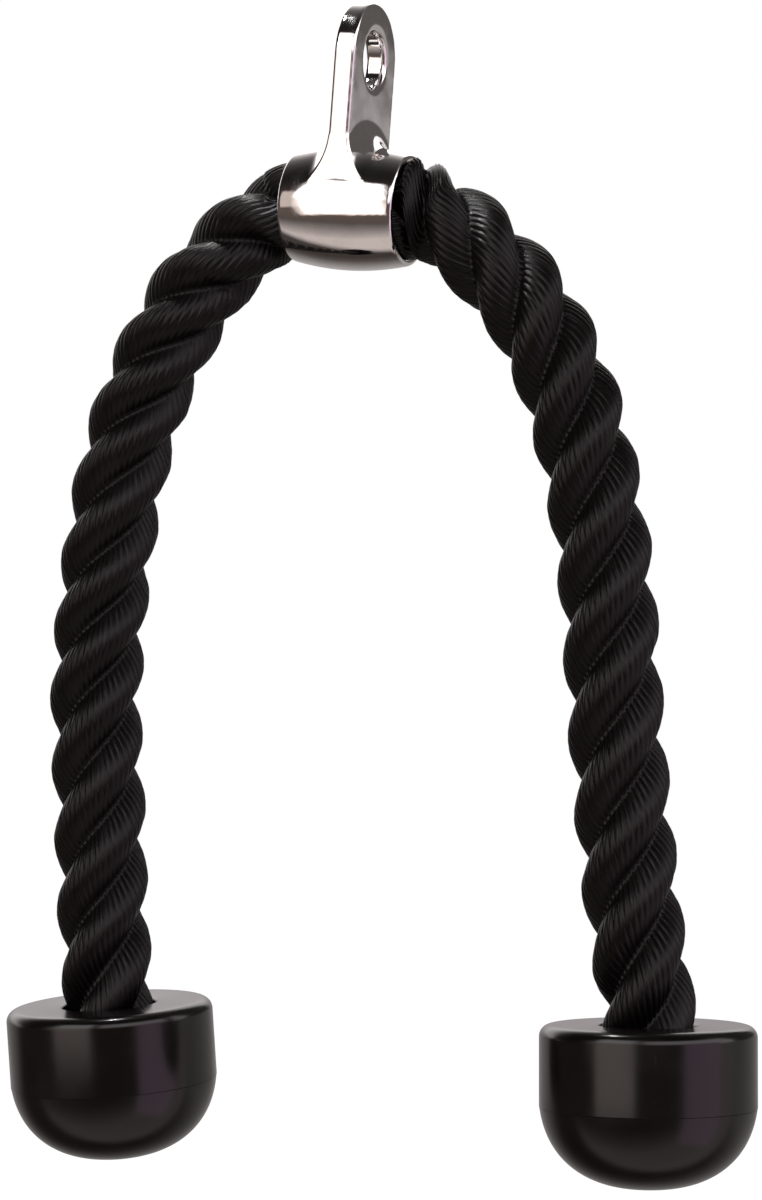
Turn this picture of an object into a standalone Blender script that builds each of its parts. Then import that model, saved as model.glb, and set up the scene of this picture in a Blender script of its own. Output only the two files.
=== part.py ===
"""Triceps rope attachment for a cable machine.

A one-piece cast hanger holds one length of thick laid rope at its middle. Each end of the rope
goes into a bell-shaped end stop, where a swaged ferrule and a washer keep it from pulling out.

Metres, +Z up. The origin is the centre of the hanger's eye, and the part hangs from it as gravity
leaves it: the hanger leans a little about Y, and the two legs of the rope hang down in the plane
y = 0. The sleeve's axis, the eye's axis and every bend of the rope lie in or square to that plane.
"""

import math

import bmesh
import bpy
from mathutils import Matrix, Vector

OBJECT_NAME = "triceps_rope_attachment"

# Gaps between pieces that touch
FACE_GAP = 0.0003
ROPE_FIT = 0.0003
CUT_OVERRUN = 0.0020
WELD_DISTANCE = 0.00001

# Rope: one length of laid rope, measured over its strands
ROPE_DIAMETER = 0.0290

# Hanger: an eye tab that grows out of a short sleeve
HANGER_LEAN = math.radians(4.5)
EYE_DIAMETER = 0.0175
EYE_EDGE_ROUND = 0.0014
HEAD_RADIUS = 0.0175
TAB_THICKNESS = 0.0070
TAB_EDGE_ROUND = 0.0011
TAB_FILLET = 0.0090
TAB_FILLET_SINK = 0.0002
EYE_TO_SLEEVE = 0.0460
SLEEVE_LENGTH = 0.0380
SLEEVE_WALL = 0.0024
SLEEVE_BELLY = 0.0020
SLEEVE_RIM_ROUND = 0.0008

# Legs: the route of the rope's centre line on each side, as (x, z), from just outside the
# sleeve's mouth down to the top of the end stop
LEFT_ROUTE = [
    (-0.0315, -0.0448), (-0.0374, -0.0483), (-0.0456, -0.0570), (-0.0570, -0.0697),
    (-0.0682, -0.0870), (-0.0760, -0.1040), (-0.0816, -0.1202), (-0.0852, -0.1364),
    (-0.0881, -0.1530), (-0.0906, -0.1750), (-0.0921, -0.2000), (-0.0912, -0.2250),
    (-0.0902, -0.2500), (-0.0893, -0.2720), (-0.0875, -0.2949),
]
RIGHT_ROUTE = [
    (0.0244, -0.0492), (0.0293, -0.0524), (0.0366, -0.0592), (0.0460, -0.0683),
    (0.0546, -0.0794), (0.0616, -0.0924), (0.0674, -0.1067), (0.0717, -0.1220),
    (0.0750, -0.1375), (0.0773, -0.1530), (0.0792, -0.1720), (0.0807, -0.1950),
    (0.0825, -0.2201), (0.0849, -0.2452), (0.0880, -0.2707), (0.0913, -0.2945),
]
MOUTH_LEAD = 0.0035
NECK_DEPTH = 0.0090
NECK_LENGTH = 0.0560
NECK_POINT_SPACING = 0.0065
LEG_POINT_SPACING = 0.0130
SQUARE_END = 0.0020

# End stops: a bored body over a domed cap
LEFT_STOP_LEAN = math.radians(-2.5)
LEFT_STOP_TILT = math.radians(3.5)
RIGHT_STOP_LEAN = math.radians(-0.5)
RIGHT_STOP_TILT = math.radians(-1.5)
STOP_RADIUS = 0.0327
STOP_TOP_ROUND = 0.0036
STOP_BORE_ROUND = 0.0012
STOP_LEAD = 0.0080
BODY_HEIGHT = 0.0246
BODY_SHOULDER = 0.0090
CAP_HEIGHT = 0.0242
CAP_FULL_DEPTH = 0.0310
CAP_SET_IN = 0.0004
CAP_WALL = 0.0050
SPIGOT_LENGTH = 0.0050
SPIGOT_WALL = 0.0030
FERRULE_CLEARANCE = 0.0029

# What keeps the rope in each end stop
WASHER_RIM = 0.0065
WASHER_THICKNESS = 0.0020
FERRULE_WALL = 0.0032
FERRULE_LENGTH = 0.0180
FERRULE_GROOVE_WIDTH = 0.0024
FERRULE_GROOVE_DEPTH = 0.0009
FERRULE_GROOVES = 2
ROPE_END_INSET = 0.0030
ROPE_END_OVERHANG = 0.0030
ROPE_END_ROUND = 0.0015

# Fineness of round shapes
TURN_STEPS = 36
SLEEVE_STEPS = 40
EYE_STEPS = 32
ARC_STEPS = 4
DOME_STEPS = 9
HEAD_STEPS = 20
FILLET_STEPS = 6
BELLY_STEPS = 6
TUBE_BEVEL_RESOLUTION = 4
CURVE_SAMPLES = 24
FLAT_ANGLE = math.radians(0.5)
BEVEL_ANGLE = math.radians(50)
SHARP_ANGLE = math.radians(35)
DOME_POWER = 2.4

# Sizes that follow from the driving ones
ROPE_RADIUS = ROPE_DIAMETER / 2
BORE_RADIUS = ROPE_RADIUS + ROPE_FIT
EYE_RADIUS = EYE_DIAMETER / 2
MOUTH_RADIUS = BORE_RADIUS + SLEEVE_WALL
SLEEVE_HALF = SLEEVE_LENGTH / 2
CAP_RADIUS = STOP_RADIUS - CAP_SET_IN
FERRULE_RADIUS = BORE_RADIUS + FERRULE_WALL
SPIGOT_BORE = FERRULE_RADIUS + FERRULE_CLEARANCE
SPIGOT_RADIUS = SPIGOT_BORE + SPIGOT_WALL
CAVITY_RADIUS = SPIGOT_RADIUS + FACE_GAP
BODY_SIDE_WALL = STOP_RADIUS - CAVITY_RADIUS
WASHER_TOP = BODY_SHOULDER + FACE_GAP
FERRULE_TOP = WASHER_TOP + WASHER_THICKNESS + FACE_GAP
FERRULE_BOTTOM = FERRULE_TOP + FERRULE_LENGTH
ROPE_END_TOP = ROPE_END_INSET + FACE_GAP

# Finishes: base colour, metallic value and roughness
CHROME = ((0.80, 0.80, 0.82, 1.0), 1.0, 0.08)
ROPE_BLACK = ((0.012, 0.011, 0.011, 1.0), 0.0, 0.62)
STOP_BLACK = ((0.010, 0.009, 0.010, 1.0), 0.0, 0.36)
STEEL = ((0.45, 0.45, 0.46, 1.0), 1.0, 0.38)
ZINC = ((0.60, 0.61, 0.62, 1.0), 1.0, 0.30)

# The sleeve's frame: X along its axis, Z up the tab
SLEEVE_TURN = Matrix.Rotation(HANGER_LEAN, 4, "Y")
SLEEVE_AXIS = SLEEVE_TURN @ Vector((1, 0, 0))
SLEEVE_CENTRE = SLEEVE_TURN @ Vector((0, 0, -EYE_TO_SLEEVE))

# How each end stop hangs: leant sideways about Y, then tilted about its own X
LEFT_STOP_TURN = Matrix.Rotation(LEFT_STOP_LEAN, 4, "Y") @ Matrix.Rotation(LEFT_STOP_TILT, 4, "X")
RIGHT_STOP_TURN = Matrix.Rotation(RIGHT_STOP_LEAN, 4, "Y") @ Matrix.Rotation(RIGHT_STOP_TILT, 4, "X")


# Scene and objects

def clear_scene():
    """Remove every object that the scene starts with."""
    for old in list(bpy.data.objects):
        bpy.data.objects.remove(old)


def make_collection(name):
    """Add a collection to the scene."""
    collection = bpy.data.collections.new(name)
    bpy.context.scene.collection.children.link(collection)
    return collection


def dress(obj, finish):
    """Give an object a Principled material of its own."""
    colour, metallic, roughness = finish
    material = bpy.data.materials.new(obj.name + "_finish")
    material.use_nodes = True
    shader = material.node_tree.nodes["Principled BSDF"]
    shader.inputs["Base Color"].default_value = colour
    shader.inputs["Metallic"].default_value = metallic
    shader.inputs["Roughness"].default_value = roughness
    obj.data.materials.append(material)


def add_object(name, data, collection):
    """Add an object with the given mesh or curve to a collection."""
    obj = bpy.data.objects.new(name, data)
    collection.objects.link(obj)
    return obj


def hide_tool(obj):
    """Show a cutter or a blank as a wire that isn't rendered."""
    obj.hide_render = True
    obj.display_type = "WIRE"


def add_frame(name, place, collection, parent=None):
    """Add an empty whose place in the world is the given matrix."""
    frame = add_object(name, None, collection)
    frame.empty_display_size = ROPE_RADIUS
    frame.parent = parent
    frame.matrix_world = place
    bpy.context.view_layer.update()
    return frame


def hang_on(obj, frame):
    """Parent an object to a frame and keep its place in the world."""
    obj.parent = frame
    obj.matrix_parent_inverse = frame.matrix_world.inverted()


def set_on(obj, frame):
    """Parent an object to a frame, so that its own coordinates are the frame's."""
    obj.parent = frame


# Shapes

def arc(centre, radius, start, end, steps):
    """Return points on an arc from start to end, in radians, both ends included."""
    points = []
    for i in range(steps + 1):
        angle = start + (end - start) * i / steps
        points.append((centre[0] + radius * math.cos(angle), centre[1] + radius * math.sin(angle)))
    return points


def turned(name, profile, collection, closed, steps):
    """Turn a profile of (radius, height) points about Z; it runs down its outer side."""
    mesh = bpy.data.meshes.new(name)
    edges = [(i, i + 1) for i in range(len(profile) - 1)]
    if closed:
        edges.append((len(profile) - 1, 0))
    mesh.from_pydata([(radius, 0, height) for radius, height in profile], edges, [])
    obj = add_object(name, mesh, collection)
    screw = obj.modifiers.new("turn", "SCREW")
    screw.axis = "Z"
    screw.angle = math.tau
    screw.steps = steps
    screw.render_steps = steps
    screw.use_merge_vertices = True
    screw.merge_threshold = WELD_DISTANCE
    screw.use_smooth_shade = True
    return obj


def plate(name, outline, thickness, turn, collection):
    """Extrude a closed flat outline evenly to both sides of its plane and return a mesh object."""
    curve = bpy.data.curves.new(name, "CURVE")
    curve.dimensions = "2D"
    curve.fill_mode = "BOTH"
    curve.extrude = thickness / 2
    spline = curve.splines.new("POLY")
    spline.points.add(len(outline) - 1)
    for point, (x, y) in zip(spline.points, outline):
        point.co = (x, y, 0, 1)
    spline.use_cyclic_u = True
    drawn = add_object(name + "_outline", curve, collection)
    drawn.matrix_world = turn
    return meshed(name, drawn, collection)


def meshed(name, drawn, collection):
    """Replace a curve object by a mesh object in the same place, with its caps welded."""
    bpy.context.view_layer.update()
    evaluated = drawn.evaluated_get(bpy.context.evaluated_depsgraph_get())
    mesh = bpy.data.meshes.new_from_object(evaluated)
    mesh.name = name
    shape = bmesh.new()
    shape.from_mesh(mesh)
    bmesh.ops.remove_doubles(shape, verts=shape.verts, dist=WELD_DISTANCE)
    bmesh.ops.dissolve_limit(shape, angle_limit=FLAT_ANGLE, verts=shape.verts, edges=shape.edges)
    shape.to_mesh(mesh)
    shape.free()
    obj = add_object(name, mesh, collection)
    obj.matrix_world = drawn.matrix_world
    bpy.data.objects.remove(drawn)
    return obj


def combine(obj, tool, operation):
    """Join, cut or intersect an object with another one."""
    boolean = obj.modifiers.new(tool.name, "BOOLEAN")
    boolean.operation = operation
    boolean.solver = "EXACT"
    boolean.object = tool
    hide_tool(tool)


def shade_round(obj, limit):
    """Shade an object smooth, apart from edges sharper than the limit."""
    obj.data.shade_smooth()
    obj.data.set_sharp_from_angle(angle=limit)


# Rope

def in_plane(point):
    """Return a route point (x, z) as a place in the rope's plane."""
    return Vector((point[0], 0, point[1]))


def smooth_curve(points):
    """Return a dense polyline on a smooth curve through the given points."""
    first = points[0] * 2 - points[1]
    last = points[-1] * 2 - points[-2]
    padded = [first] + points + [last]
    dense = []
    for i in range(1, len(padded) - 2):
        before, here, there, after = padded[i - 1:i + 3]
        for step in range(CURVE_SAMPLES):
            dense.append(curve_point(before, here, there, after, step / CURVE_SAMPLES))
    dense.append(points[-1])
    return dense


def curve_point(before, here, there, after, share):
    """Return a point of a centripetal Catmull-Rom span, with share from 0 to 1."""
    knot_1 = math.sqrt((here - before).length)
    knot_2 = knot_1 + math.sqrt((there - here).length)
    knot_3 = knot_2 + math.sqrt((after - there).length)
    at = knot_1 + (knot_2 - knot_1) * share
    a_1 = before.lerp(here, at / knot_1)
    a_2 = here.lerp(there, (at - knot_1) / (knot_2 - knot_1))
    a_3 = there.lerp(after, (at - knot_2) / (knot_3 - knot_2))
    b_1 = a_1.lerp(a_2, at / knot_2)
    b_2 = a_2.lerp(a_3, (at - knot_1) / (knot_3 - knot_1))
    return b_1.lerp(b_2, (at - knot_1) / (knot_2 - knot_1))


def lengths_along(line):
    """Return the length of a polyline up to each of its points."""
    lengths = [0]
    for a, b in zip(line, line[1:]):
        lengths.append(lengths[-1] + (b - a).length)
    return lengths


def point_at(line, lengths, distance):
    """Return the point of a polyline at a distance from its start."""
    for i in range(1, len(line)):
        if lengths[i] >= distance:
            share = (distance - lengths[i - 1]) / (lengths[i] - lengths[i - 1])
            return line[i - 1].lerp(line[i], share)
    return line[-1]


def cut_line(line, start, end, spacing):
    """Return evenly spaced points of a polyline between two distances from its start."""
    lengths = lengths_along(line)
    count = max(2, round((end - start) / spacing))
    return [point_at(line, lengths, start + (end - start) * i / count) for i in range(count + 1)]


def direction_at(line, lengths, distance):
    """Return the direction of a polyline at a distance from its start."""
    ahead = point_at(line, lengths, distance + SQUARE_END / 2)
    behind = point_at(line, lengths, distance - SQUARE_END / 2)
    return (ahead - behind).normalized()


def tube(name, points, collection):
    """Make a rope tube through the given points, with flat ends."""
    curve = bpy.data.curves.new(name, "CURVE")
    curve.dimensions = "3D"
    curve.bevel_depth = ROPE_RADIUS
    curve.bevel_resolution = TUBE_BEVEL_RESOLUTION
    curve.use_fill_caps = True
    spline = curve.splines.new("POLY")
    spline.points.add(len(points) - 1)
    for target, point in zip(spline.points, points):
        target.co = (point.x, point.y, point.z, 1)
    return add_object(name, curve, collection)


def leg_line(route, side, stop_turn):
    """Return one side's centre line, from inside the sleeve to inside the end stop."""
    outward = SLEEVE_AXIS * side
    mouth = SLEEVE_CENTRE + outward * SLEEVE_HALF
    down = stop_turn @ Vector((0, 0, -1))
    top = in_plane(route[-1])
    points = [mouth - outward * NECK_DEPTH, mouth, mouth + outward * MOUTH_LEAD]
    points += [in_plane(point) for point in route[:-1]]
    points += [top - down * STOP_LEAD, top, top + down * ROPE_END_INSET]
    return smooth_curve(points)


# Hanger

def tab_side_outline():
    """Return the tab's outline seen along the sleeve: a round head on a straight blade."""
    head = arc((0, 0), HEAD_RADIUS, 0, math.pi, HEAD_STEPS)
    return head + [(-HEAD_RADIUS, -EYE_TO_SLEEVE), (HEAD_RADIUS, -EYE_TO_SLEEVE)]


def fillet_profile():
    """Return the fillets on both sides of the tab, turned about the sleeve's axis."""
    half = TAB_THICKNESS / 2
    foot = sleeve_radius(half + TAB_FILLET) - TAB_FILLET_SINK
    centre = (foot + TAB_FILLET, half + TAB_FILLET)
    upper = arc(centre, TAB_FILLET, math.pi, math.pi * 3 / 2, FILLET_STEPS)
    upper = [(0, half + TAB_FILLET)] + upper
    return upper + [(radius, -height) for radius, height in reversed(upper)]


def sleeve_radius(distance):
    """Return the sleeve's outer radius at a distance from its middle, along its axis."""
    share = distance / (SLEEVE_HALF - SLEEVE_RIM_ROUND)
    return MOUTH_RADIUS + SLEEVE_BELLY * (1 - share * share)


def sleeve_outer_profile():
    """Return the sleeve's outside as (radius, distance along its axis), top to bottom."""
    edge = SLEEVE_RIM_ROUND
    profile = [(0, SLEEVE_HALF)]
    profile += arc((MOUTH_RADIUS - edge, SLEEVE_HALF - edge), edge, math.pi / 2, 0, ARC_STEPS)
    flat = SLEEVE_HALF - edge
    for i in range(1, BELLY_STEPS * 2):
        distance = flat * (1 - i / BELLY_STEPS)
        profile.append((sleeve_radius(distance), distance))
    profile += arc((MOUTH_RADIUS - edge, -flat), edge, 0, -math.pi / 2, ARC_STEPS)
    profile.append((0, -SLEEVE_HALF))
    return profile


def sleeve_bore_profile():
    """Return the sleeve's bore as a turned cutter whose ends open out in a round edge."""
    edge = SLEEVE_RIM_ROUND
    end = SLEEVE_HALF + CUT_OVERRUN
    flare = arc((BORE_RADIUS + edge, SLEEVE_HALF - edge), edge, math.pi / 2, math.pi, ARC_STEPS)
    wide = BORE_RADIUS + edge
    top = [(0, end), (wide, end)] + flare
    return top + [(radius, -height) for radius, height in reversed(top)]


def eye_profile():
    """Return the eye as a turned cutter whose ends open out in a round edge."""
    edge = EYE_EDGE_ROUND
    face = TAB_THICKNESS / 2
    end = face + CUT_OVERRUN
    flare = arc((EYE_RADIUS + edge, face - edge), edge, math.pi / 2, math.pi, ARC_STEPS)
    top = [(0, end), (EYE_RADIUS + edge, end)] + flare
    return top + [(radius, -height) for radius, height in reversed(top)]


def make_hanger(parts, tools, frame):
    """Make the casting: the tab with its fillets, joined to the sleeve, bored and holed."""
    side_turn = Matrix.Rotation(math.pi / 2, 4, "Z") @ Matrix.Rotation(math.pi / 2, 4, "X")
    along_x = Matrix.Rotation(math.pi / 2, 4, "Y")
    on_sleeve = Matrix.Translation((0, 0, -EYE_TO_SLEEVE)) @ along_x
    width = (TAB_THICKNESS / 2 + TAB_FILLET + CUT_OVERRUN) * 2
    hanger = plate("hanger", tab_side_outline(), TAB_THICKNESS, side_turn, parts)
    web = plate("tab_web", tab_side_outline(), width, side_turn, tools)
    fillets = turned("fillets", fillet_profile(), tools, False, SLEEVE_STEPS)
    sleeve = turned("sleeve_blank", sleeve_outer_profile(), tools, False, SLEEVE_STEPS)
    bore = turned("sleeve_bore", sleeve_bore_profile(), tools, False, SLEEVE_STEPS)
    eye = turned("eye_hole", eye_profile(), tools, False, EYE_STEPS)
    for piece in (fillets, sleeve, bore):
        piece.matrix_world = on_sleeve
    eye.matrix_world = along_x
    combine(web, fillets, "INTERSECT")
    edges = hanger.modifiers.new("edges", "BEVEL")
    edges.width = TAB_EDGE_ROUND
    edges.segments = 2
    edges.limit_method = "ANGLE"
    edges.angle_limit = BEVEL_ANGLE
    edges.harden_normals = True
    combine(hanger, web, "UNION")
    combine(hanger, sleeve, "UNION")
    combine(hanger, bore, "DIFFERENCE")
    combine(hanger, eye, "DIFFERENCE")
    for piece in (hanger, web, fillets, sleeve, bore, eye):
        set_on(piece, frame)
    shade_round(hanger, SHARP_ANGLE)
    dress(hanger, CHROME)


def make_core(parts, frame):
    """Make the middle of the rope, which stays in the sleeve."""
    half = SLEEVE_HALF - NECK_DEPTH - FACE_GAP
    profile = [(0, half), (ROPE_RADIUS, half), (ROPE_RADIUS, -half), (0, -half)]
    core = turned("rope_core", profile, parts, False, TURN_STEPS)
    core.matrix_world = Matrix.Translation((0, 0, -EYE_TO_SLEEVE)) @ Matrix.Rotation(math.pi / 2, 4, "Y")
    set_on(core, frame)
    dress(core, ROPE_BLACK)


# Legs

def make_leg(name, route, side, stop_turn, parts):
    """Make one leg of the rope on its two hinges, and return the frame of its end stop."""
    line = leg_line(route, side, stop_turn)
    lengths = lengths_along(line)
    bend_at = NECK_DEPTH + NECK_LENGTH
    mouth = SLEEVE_CENTRE + SLEEVE_AXIS * (side * SLEEVE_HALF)
    pivot = point_at(line, lengths, bend_at)
    swing = add_frame(name + "_swing", Matrix.Translation(mouth) @ SLEEVE_TURN, parts)
    bend = add_frame(name + "_bend", Matrix.Translation(pivot), parts, swing)
    along = direction_at(line, lengths, bend_at)
    neck_points = cut_line(line, 0, bend_at - SQUARE_END, NECK_POINT_SPACING)[:-1]
    neck_points += [pivot - along * SQUARE_END, pivot - along * (FACE_GAP / 2)]
    leg_points = [pivot + along * (FACE_GAP / 2), pivot + along * SQUARE_END]
    leg_points += cut_line(line, bend_at + SQUARE_END, lengths[-1], LEG_POINT_SPACING)[1:]
    neck = tube(name + "_rope_neck", neck_points, parts)
    leg = tube(name + "_rope_leg", leg_points, parts)
    hang_on(neck, swing)
    hang_on(leg, bend)
    dress(neck, ROPE_BLACK)
    dress(leg, ROPE_BLACK)
    return add_frame(name + "_stop", Matrix.Translation(in_plane(route[-1])) @ stop_turn, parts, bend)


# End stops, as (radius, height) profiles below the top of the stop

def stop_body_profile():
    """Return the bored body: top face, rounded corner, wall, seam face and cavity."""
    edge = STOP_BORE_ROUND
    corner = STOP_TOP_ROUND
    inside = STOP_RADIUS - BODY_SIDE_WALL
    profile = [(BORE_RADIUS + edge, 0)]
    profile += arc((STOP_RADIUS - corner, -corner), corner, math.pi / 2, 0, ARC_STEPS)
    profile += [(STOP_RADIUS, -BODY_HEIGHT), (inside, -BODY_HEIGHT)]
    profile += [(inside, -BODY_SHOULDER), (BORE_RADIUS, -BODY_SHOULDER)]
    profile += arc((BORE_RADIUS + edge, -edge), edge, math.pi, math.pi / 2, ARC_STEPS)[:-1]
    return profile


def dome(radius, height, seam):
    """Return a dome's profile from the seam down to its pole, part of a fuller rounded form.

    The form is a superellipse that would only run up to a vertical side CAP_FULL_DEPTH above its
    pole, so the dome leaves the seam at a slight angle.
    """
    full_depth = height * CAP_FULL_DEPTH / CAP_HEIGHT
    cut = 1 - height / full_depth
    full_radius = radius / (1 - cut ** DOME_POWER) ** (1 / DOME_POWER)
    start = math.asin(cut ** (DOME_POWER / 2))
    points = [(radius, seam)]
    for i in range(1, DOME_STEPS):
        angle = start + (math.pi / 2 - start) * i / DOME_STEPS
        across = math.cos(angle) ** (2 / DOME_POWER)
        down = math.sin(angle) ** (2 / DOME_POWER) - cut
        points.append((full_radius * across, seam - full_depth * down))
    points.append((0, seam - height))
    return points


def stop_cap_profile():
    """Return the domed cap: inside of the dome, spigot, seam face and outside of the dome."""
    seam = -BODY_HEIGHT - FACE_GAP
    spigot_top = seam + FACE_GAP + SPIGOT_LENGTH
    inner = dome(SPIGOT_BORE, CAP_HEIGHT - CAP_WALL, seam)
    outer = dome(CAP_RADIUS, CAP_HEIGHT, seam)
    rim = [(SPIGOT_BORE, spigot_top), (SPIGOT_RADIUS, spigot_top), (SPIGOT_RADIUS, seam)]
    return list(reversed(inner)) + rim + outer


def washer_profile():
    """Return the washer that spreads the pull of the ferrule over the body's shoulder."""
    outer = BORE_RADIUS + WASHER_RIM
    bottom = -WASHER_TOP - WASHER_THICKNESS
    return [(BORE_RADIUS, -WASHER_TOP), (outer, -WASHER_TOP), (outer, bottom), (BORE_RADIUS, bottom)]


def ferrule_profile():
    """Return the swaged ferrule, with the grooves that its dies leave."""
    outer = FERRULE_RADIUS
    waist = outer - FERRULE_GROOVE_DEPTH
    profile = [(BORE_RADIUS, -FERRULE_TOP), (outer, -FERRULE_TOP)]
    for i in range(FERRULE_GROOVES):
        middle = -FERRULE_TOP - FERRULE_LENGTH * (i + 1) / (FERRULE_GROOVES + 1)
        half = FERRULE_GROOVE_WIDTH / 2
        profile += [(outer, middle + half), (waist, middle + half / 2)]
        profile += [(waist, middle - half / 2), (outer, middle - half)]
    profile += [(outer, -FERRULE_BOTTOM), (BORE_RADIUS, -FERRULE_BOTTOM)]
    return profile


def rope_end_profile():
    """Return the rope's end inside the stop, with its sealed edge rounded."""
    bottom = -FERRULE_BOTTOM - ROPE_END_OVERHANG
    edge = ROPE_END_ROUND
    profile = [(0, -ROPE_END_TOP), (ROPE_RADIUS, -ROPE_END_TOP)]
    profile += arc((ROPE_RADIUS - edge, bottom + edge), edge, 0, -math.pi / 2, ARC_STEPS)
    return profile + [(0, bottom)]


def make_stop(name, parts, frame):
    """Make one end stop and what keeps the rope in it."""
    pieces = [
        ("stop_body", stop_body_profile(), True, STOP_BLACK),
        ("stop_cap", stop_cap_profile(), False, STOP_BLACK),
        ("washer", washer_profile(), True, ZINC),
        ("ferrule", ferrule_profile(), True, STEEL),
        ("rope_end", rope_end_profile(), False, ROPE_BLACK),
    ]
    for piece_name, profile, closed, finish in pieces:
        piece = turned(name + "_" + piece_name, profile, parts, closed, TURN_STEPS)
        set_on(piece, frame)
        dress(piece, finish)


def main():
    """Build the whole attachment."""
    clear_scene()
    parts = make_collection(OBJECT_NAME)
    tools = make_collection(OBJECT_NAME + "_cutters")
    hanger_frame = add_frame("hanger_frame", SLEEVE_TURN, parts)
    make_hanger(parts, tools, hanger_frame)
    make_core(parts, hanger_frame)
    for name, route, side, stop_turn in (
        ("left", LEFT_ROUTE, -1, LEFT_STOP_TURN),
        ("right", RIGHT_ROUTE, 1, RIGHT_STOP_TURN),
    ):
        stop_frame = make_leg(name, route, side, stop_turn, parts)
        make_stop(name, parts, stop_frame)


main()
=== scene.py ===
"""Triceps rope attachment, dressed for the camera.

A chromed hanger holds one length of black three-strand rope at its middle, and each end of the
rope goes into a bell-shaped end stop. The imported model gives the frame, and every new piece is
made in place over it, in metres.
"""

from __future__ import annotations

import logging
import math
from dataclasses import dataclass, field
from enum import Enum

import bpy
import numpy as np
from mathutils import Matrix, Vector

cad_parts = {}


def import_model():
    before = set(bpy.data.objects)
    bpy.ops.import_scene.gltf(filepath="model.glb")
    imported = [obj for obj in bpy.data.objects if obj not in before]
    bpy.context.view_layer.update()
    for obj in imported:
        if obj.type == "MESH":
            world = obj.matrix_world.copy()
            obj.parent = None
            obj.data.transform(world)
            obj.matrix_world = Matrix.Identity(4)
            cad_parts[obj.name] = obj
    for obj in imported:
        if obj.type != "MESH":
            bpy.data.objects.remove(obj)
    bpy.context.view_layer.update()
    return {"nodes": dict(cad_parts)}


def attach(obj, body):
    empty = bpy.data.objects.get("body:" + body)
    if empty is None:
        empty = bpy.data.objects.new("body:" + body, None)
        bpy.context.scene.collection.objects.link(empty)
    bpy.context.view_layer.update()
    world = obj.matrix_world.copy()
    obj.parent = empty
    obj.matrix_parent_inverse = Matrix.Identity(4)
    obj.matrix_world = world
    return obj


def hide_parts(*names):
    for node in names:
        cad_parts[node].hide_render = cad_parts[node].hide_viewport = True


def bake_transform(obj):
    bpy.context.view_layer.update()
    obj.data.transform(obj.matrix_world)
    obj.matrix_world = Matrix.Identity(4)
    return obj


LOG = logging.getLogger("rope_attachment")

CHART = "Yarns"  # the rope's UV map: columns of yarns by length
EASE = ("LINEAR", "SMOOTHSTEP")  # a Map Range node's two ways, plain and eased
WHITE = (1.0, 1.0, 1.0)
BLACK = (0.0, 0.0, 0.0)
TAIL = 3.0  # where a bell-shaped weight is cut off, in deviations

Point = tuple[float, float]
Triple = tuple[float, float, float]
Socket = bpy.types.NodeSocket
Feeds = dict[int | str, object]


class Side(Enum):
    """The two legs of the rope, with their direction along the sleeve's axis."""

    LEFT = -1
    RIGHT = 1

    @property
    def word(self) -> str:
        """The side's name, as the nodes and bodies spell it."""
        return self.name.lower()


class Lay(Enum):
    """The way that the strands turn about the rope as they run along it."""

    Z_LAY = 1
    S_LAY = -1


# Node work for the finishes


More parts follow.
